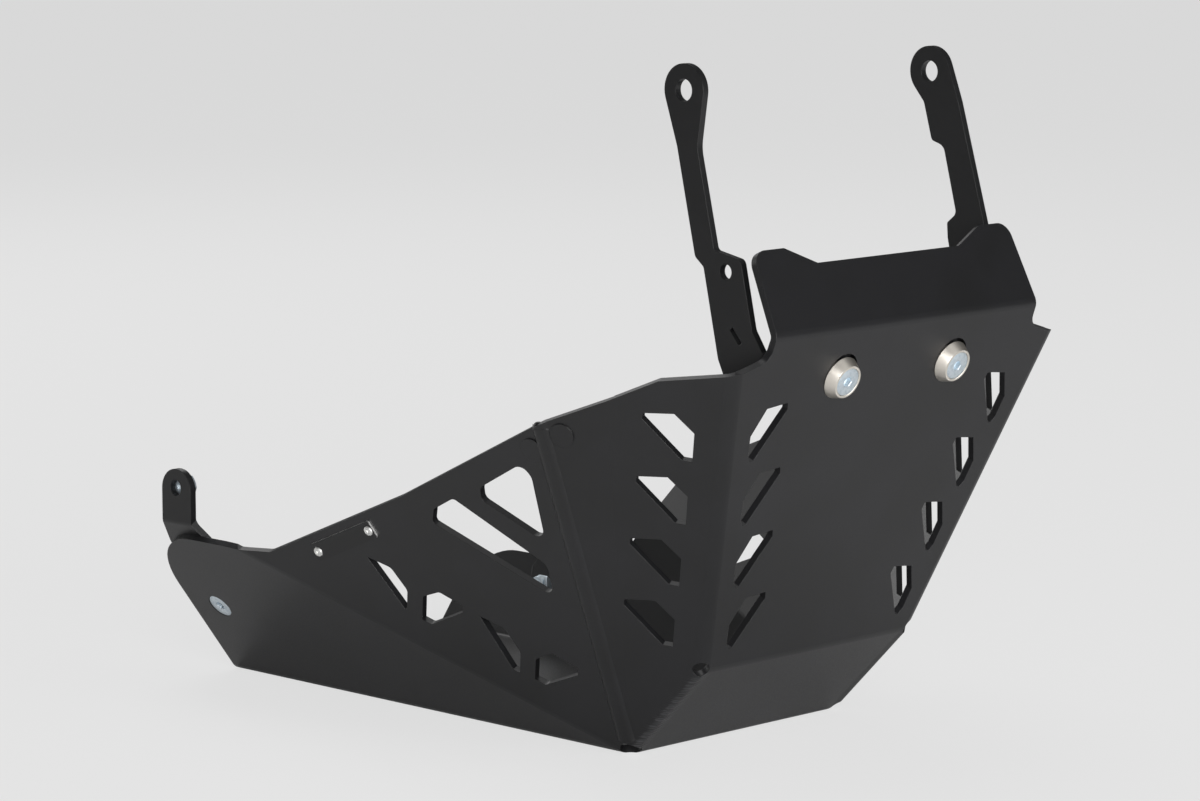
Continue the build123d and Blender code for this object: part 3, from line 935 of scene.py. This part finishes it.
@dataclass
class TaperedBush:
    """Turned bush under a front screw: a cone with a countersunk seat."""

    base_radius: float = 12.25 * MM
    base_edge: Offsets = ((-0.35, 0.0), (-0.08, 0.12), (-0.02, 0.4))
    top_radius: float = 9.4 * MM
    top_edge: Offsets = ((0.25, -0.5), (0.05, -0.15), (-0.25, 0.0))
    rise: float = 6.0 * MM
    spigot_radius: float = 8.0 * MM
    spigot: float = 4.0 * MM
    seat_radius: float = 8.1 * MM
    seat_edge: Offsets = ((0.25, 0.0), (0.0, -0.2))
    seat_drop: float = 0.7 * MM
    bore_radius: float = 4.1 * MM
    facets: int = 96

    def build(self, name: str, material: bpy.types.Material) -> bpy.types.Object:
        """Build the bush with the panel's face at local height 0.

        Args:
            name: Piece name.
            material: Finish.

        Returns:
            The bush.
        """
        rings = Rings(self.facets)
        seat = self.rise - self.seat_drop
        rings.circle(self.bore_radius, -self.spigot)
        rings.circle(self.spigot_radius, -self.spigot)
        rings.circle(self.spigot_radius, 0.0)
        rings.corner(self.base_radius, 0.0, self.base_edge)
        rings.corner(self.top_radius, self.rise, self.top_edge)
        rings.corner(self.seat_radius, self.rise, self.seat_edge)
        rings.circle(self.seat_radius, seat)
        rings.circle(self.bore_radius, seat - (self.seat_radius - self.bore_radius))
        return rings.build(name, material, closed=True)


@dataclass
class FrontFastening:
    """Bush, screw and nut that hold an arm's foot behind the front panel."""

    finishes: Finishes
    side: Side
    centre_mm: Point = (-45.2, -283.8581, 218.7027)
    normal: Point = (0.0, -0.935444, -0.353475)
    screw_length: float = 24.0 * MM
    head_height: float = 5.7 * MM
    nut_depth: float = 8.0 * MM

    def build(self) -> None:
        """Build and place the three pieces."""
        word = self.side.name.lower()
        zinc = self.finishes.zinc
        seat = Seat.at(self.centre_mm, self.normal, (1, 0, 0), self.side)
        bush = TaperedBush().build(f"{word}_turned_bush", self.finishes.turned)
        fit_piece(bush, seat, Slot.ZINC, f"{word}_front_bush")
        screw = CountersunkScrew(self.screw_length).build(f"{word}_socket_screw", zinc)
        fit_piece(screw, seat.shifted(self.head_height), Slot.ZINC, f"{word}_front_screw")
        nut = HexNut().build(f"{word}_foot_nut", zinc, -self.nut_depth - self.head_height)
        fit_piece(nut, seat.shifted(-self.nut_depth), Slot.ZINC, f"{word}_front_nut")


@dataclass
class RearFastening:
    """Screw and nut through a lower side panel, and the captive nut on the bracket's tab."""

    finishes: Finishes
    side: Side
    centre_mm: Point
    tab_mm: Point
    normal: Point = (-0.798636, 0.0, -0.601815)
    screw_length: float = 18.0 * MM
    head_sink: float = 0.3 * MM
    nut_depth: float = 8.0 * MM

    def build(self) -> None:
        """Build and place the three pieces."""
        word = self.side.name.lower()
        zinc = self.finishes.zinc
        seat = Seat.at(self.centre_mm, self.normal, (0, -1, 0), self.side)
        screw = CountersunkScrew(self.screw_length).build(f"{word}_side_screw", zinc)
        fit_piece(screw, seat.shifted(-self.head_sink), Slot.ZINC, f"{word}_rear_screw")
        nut = HexNut().build(f"{word}_side_nut", zinc, self.head_sink - self.nut_depth)
        fit_piece(nut, seat.shifted(-self.nut_depth), Slot.ZINC, f"{word}_rear_nut")
        tab = Seat.at(self.tab_mm, (-1, 0, 0), (0, 1, 0), self.side)
        captive = HexNut().build(f"{word}_captive_nut", zinc)
        fit_piece(captive, tab, Slot.ZINC, f"{word}_tab_nut")


@dataclass
class BlindRivet:
    """Domed blind rivet with its broken pin sunk in the middle."""

    head_radius: float = 2.95 * MM
    rise: float = 1.22 * MM
    crown_steps: int = 9
    crown_inset: float = 0.75 * MM
    crown_share: float = 0.8  # share of the rise that the crown's round side takes
    stem_radius: float = 1.5 * MM
    stem_foot: float = 0.02 * MM
    hole_radius: float = 1.15 * MM
    hole_edge: Offsets = ((0.35, 0.0), (0.0, -0.12))
    pin_drop: float = 0.9 * MM
    pin_flat: float = 0.5  # radius of the pin's flat end as a share of the hole's
    pin_crown: float = 0.12 * MM
    plate: float = 1.0 * MM
    facets: int = 48

    def build(self, name: str, material: bpy.types.Material) -> bpy.types.Object:
        """Build the rivet with the side panel's face at local height 0.

        Args:
            name: Piece name.
            material: Finish.

        Returns:
            The rivet.
        """
        rings = Rings(self.facets)
        top = self.plate + self.rise
        pin = top - self.pin_drop
        rings.circle(self.stem_radius, self.stem_foot)
        rings.circle(self.stem_radius, self.plate)
        rings.circle(self.head_radius, self.plate)
        for i in range(1, self.crown_steps):
            angle = i / self.crown_steps * math.pi / 2
            reach = self.head_radius - self.crown_inset * (1 - math.cos(angle))
            rings.circle(reach, self.plate + self.crown_share * self.rise * math.sin(angle))
        rings.corner(self.hole_radius, top, self.hole_edge)
        rings.circle(self.hole_radius, pin)
        rings.circle(self.hole_radius * self.pin_flat, pin + self.pin_crown)
        return rings.build(name, material)


@dataclass
class NameplateRivets:
    """Both rivets of the bare nameplate on the right side panel."""

    finishes: Finishes
    centre_mm: Point = (-150.628, -4.1956, 108.4466)
    along: Point = (-0.02214, -0.926882, 0.3747)
    normal: Point = SIDE_PANEL_NORMAL
    step: float = 23.5 * MM

    def build(self) -> None:
        """Build and place both rivets."""
        seat = Seat.at(self.centre_mm, self.normal, self.along, Side.RIGHT)
        for word, sign in (("front", 1), ("rear", -1)):
            place = Seat(seat.origin + seat.x_dir * sign * self.step, seat.normal, seat.x_dir)
            rivet = BlindRivet().build(f"badge_blind_rivet_{word}", self.finishes.rivet)
            fit_piece(rivet, place, Slot.BARE_ALUMINIUM, f"badge_rivet_{word}")


@dataclass
class WeldBead:
    """Dressed and coated weld bead over a side seam: a low arch with faint ripples left in it."""

    finishes: Finishes
    side: Side
    foot_mm: Point = (-86.0, -167.0, 0.0)
    up: Point = (-0.3626395, -0.0268622, 0.9315423)
    away: Point = (-0.908347, -0.211705, -0.360493)
    start: float = 9.5 * MM
    end: float = 207.6 * MM
    round_off: float = 3.0 * MM
    rise: float = 1.36 * MM
    half_width: float = 4.95 * MM
    arch_power: float = 3.0
    skirt: float = 0.5 * MM
    columns: int = 21
    rows: int = 420
    ripple_pitch: float = 2.8 * MM
    ripple_height: float = 0.05 * MM
    ripple_bow: float = 1.1
    ripple_floor: float = 0.45
    ripple_wander: tuple[Point, ...] = (
        (190.0, 0.0, 0.075),
        (431.0, 1.3, 0.06),
    )  # radians in a metre, radians at the foot, share of the height
    stop_radius: float = 2.4 * MM
    stop_stretch: float = 1.2
    stop_sink: float = 1.9 * MM
    stop_drop: float = 1.7 * MM
    stop_steps: int = 9
    stop_facets: int = 40

    def lift(self, along: float, across: float) -> float:
        """Extra height of the ripples above the plain arch.

        Args:
            along: Distance up the seam.
            across: Distance from the seam's middle.

        Returns:
            Height in metres.
        """
        bow = (across / self.half_width) ** 2 * self.ripple_bow
        phase = (along / self.ripple_pitch + bow) % 1.0
        ripple = self.ripple_floor + (1 - self.ripple_floor) * math.sin(math.pi * phase)
        for rate, start, share in self.ripple_wander:
            ripple += share * math.sin(along * rate + start)
        return self.ripple_height * ripple

    def build(self) -> None:
        """Build the bead as a ribbon of rows across the seam, and the lump that ends it."""
        flip = Vector((self.side.value, 1, 1))
        foot = Vector(self.foot_mm) * flip * MM
        up = (Vector(self.up) * flip).normalized()
        away = (Vector(self.away) * flip).normalized()
        across = up.cross(away)
        vertices = []
        for r in range(self.rows + 1):
            along = self.start + (self.end - self.start) * r / self.rows
            late = max(0.0, 1 - (self.end - along) / self.round_off)
            for c in range(self.columns):
                v = (self.half_width + self.skirt) * (2 * c / (self.columns - 1) - 1)
                arch = self.rise * (1 - abs(v / self.half_width) ** self.arch_power)
                high = arch + self.lift(along, v) - self.rise * late**2
                vertices.append(foot + up * along + across * v + away * high)
        faces = []
        for r in range(self.rows):
            for c in range(self.columns - 1):
                i = r * self.columns + c
                faces.append((i, i + 1, i + self.columns + 1, i + self.columns))
        name = f"{self.side.name.lower()}_weld_bead"
        join_part(mesh_object(name, vertices, faces, self.finishes.sheet), Slot.POWDER_COAT)
        self.stop(foot, up, away)

    def stop(self, foot: Vector, up: Vector, away: Vector) -> None:
        """Build the rounded lump where the bead ends over the rim.

        Args:
            foot: Foot of the seam.
            up: Direction up the seam.
            away: Direction out of the seam.
        """
        rings = Rings(self.stop_facets)
        for i in range(1 - self.stop_steps, self.stop_steps):
            angle = i / self.stop_steps * math.pi / 2
            reach = self.stop_radius * math.cos(angle)
            height = self.stop_radius * math.sin(angle)
            rings.shaped(
                lambda a, reach=reach: reach * (1 + self.stop_stretch * math.sin(a) ** 2),
                lambda a, height=height: height,
            )
        piece = rings.build(f"{self.side.name.lower()}_weld_end", self.finishes.sheet)
        middle = foot + up * (self.end - self.stop_drop) - away * self.stop_sink
        piece.data.transform(Seat(middle, away, up).matrix())
        join_part(piece, Slot.POWDER_COAT)


@dataclass
class Sheet:
    """The folded sheet, the arms, the brackets and the nameplate, kept from the CAD model."""

    finishes: Finishes
    nodes: dict[str, bpy.types.Object]

    def dress(self, name: str, material: bpy.types.Material) -> None:
        """Give a CAD node its finish.

        Args:
            name: Node name.
            material: Finish.
        """
        node = self.nodes[name]
        node.data.materials.clear()
        node.data.materials.append(material)
        LOG.info("dressed %s", name)

    def build(self) -> None:
        """Dress every node that keeps its CAD shape."""
        self.dress("skid_plate", self.finishes.sheet)
        for side in Side:
            word = side.name.lower()
            self.dress(f"{word}_front_arm", self.finishes.bracket)
            self.dress(f"{word}_rear_bracket", self.finishes.bracket)
        self.dress("badge_plate", self.finishes.badge)


# --- stage -----------------------------------------------------------------------------------


@dataclass(frozen=True)
class Softbox:
    """Square area light aimed at the part and unseen by the camera."""

    name: str
    turn: float  # degrees round from the part's front, towards its left side
    rise: float  # degrees above the floor
    power: float  # watts
    size: float = 1.6
    distance: float = 3.0
    aim_height: float = 0.1

    def build(self) -> None:
        """Add the light."""
        data = bpy.data.lights.new(self.name, "AREA")
        data.shape = "SQUARE"
        data.size = self.size
        data.energy = self.power
        lamp = bpy.data.objects.new(self.name, data)
        bpy.context.scene.collection.objects.link(lamp)
        a, e = math.radians(self.turn), math.radians(self.rise)
        reach = Vector((math.sin(a) * math.cos(e), -math.cos(a) * math.cos(e), math.sin(e)))
        lamp.location = reach * self.distance
        aim = Vector((0.0, 0.0, self.aim_height)) - lamp.location
        lamp.rotation_euler = aim.to_track_quat("-Z", "Y").to_euler()
        lamp.visible_camera = False


SOFTBOXES = (
    Softbox("key_softbox", turn=-34.0, rise=10.0, power=90.0),
    Softbox("front_softbox", turn=5.0, rise=18.0, power=23.0),
    Softbox("top_softbox", turn=10.0, rise=50.0, power=5.0),
    Softbox("overhead_softbox", turn=160.0, rise=78.0, power=12.0),
    Softbox("edge_softbox", turn=150.0, rise=38.0, power=12.0),
    Softbox("rear_softbox", turn=-170.0, rise=13.0, power=18.0),
)


@dataclass
class Studio:
    """Pale floor, soft light and the camera at the photograph's angle."""

    lens: float = 131.79
    sensor: float = 36.0
    clip_start: float = 0.05
    clip_end: float = 200.0
    position_mm: Point = (-1787.01, -1827.40, 547.35)
    turn: float = 45.29  # degrees from the +Y direction, towards +X
    tilt: float = 8.35  # degrees below level
    surround: str = "#585858"
    floor_reach: float = 60.0
    floor_drop: float = 0.2 * MM  # keeps the floor off the part's underside

    def floor(self) -> None:
        """Build the pale floor."""
        reach = self.floor_reach
        signs = ((-1, -1), (1, -1), (1, 1), (-1, 1))
        corners = [Vector((x * reach, y * reach, 0.0)) for x, y in signs]
        floor = mesh_object("floor", corners, [(0, 1, 2, 3)], LitTable().build())
        floor.location.z = -self.floor_drop

    def world(self) -> None:
        """Make the dim, even surroundings of the studio."""
        world = bpy.data.worlds.new("studio")
        bpy.context.scene.world = world
        world.use_nodes = True
        tree = world.node_tree
        tree.nodes.clear()
        light = add_node(
            tree, "ShaderNodeBackground", {"Color": linear(self.surround), "Strength": 1.0}
        )
        add_node(tree, "ShaderNodeOutputWorld", None, {0: light.outputs[0]})

    def camera(self) -> None:
        """Add the camera."""
        data = bpy.data.cameras.new("camera")
        data.sensor_width = self.sensor
        data.lens = self.lens
        data.clip_start = self.clip_start
        data.clip_end = self.clip_end
        camera = bpy.data.objects.new("camera", data)
        bpy.context.scene.collection.objects.link(camera)
        camera.location = Vector(self.position_mm) * MM
        camera.rotation_euler = (math.radians(90 - self.tilt), 0.0, math.radians(-self.turn))
        bpy.context.scene.camera = camera

    def build(self) -> None:
        """Set up the stage."""
        self.floor()
        self.world()
        for softbox in SOFTBOXES:
            softbox.build()
        self.camera()
        bpy.context.scene.view_settings.view_transform = "Standard"


# Places of each side's screw through the side panel and of its nut on the tab, in millimetres,
# given as on the right side.
REAR_FASTENINGS = {
    Side.RIGHT: ((-121.2664, 139.6, 46.8), (-154.0925, 134.8, 123.1166)),
    Side.LEFT: ((-107.6653, 91.0, 28.7509), (-119.7891, 91.5, 77.5943)),
}


def main() -> None:
    """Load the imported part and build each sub-assembly."""
    logging.basicConfig(level=logging.INFO, format="%(message)s")
    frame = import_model()
    finishes = Finishes.make()
    Sheet(finishes, frame["nodes"]).build()
    for side in Side:
        FrontFastening(finishes, side).build()
        WeldBead(finishes, side).build()
    for side, (centre, tab) in REAR_FASTENINGS.items():
        RearFastening(finishes, side, centre, tab).build()
    NameplateRivets(finishes).build()
    Studio().build()


if __name__ == "__main__":
    main()
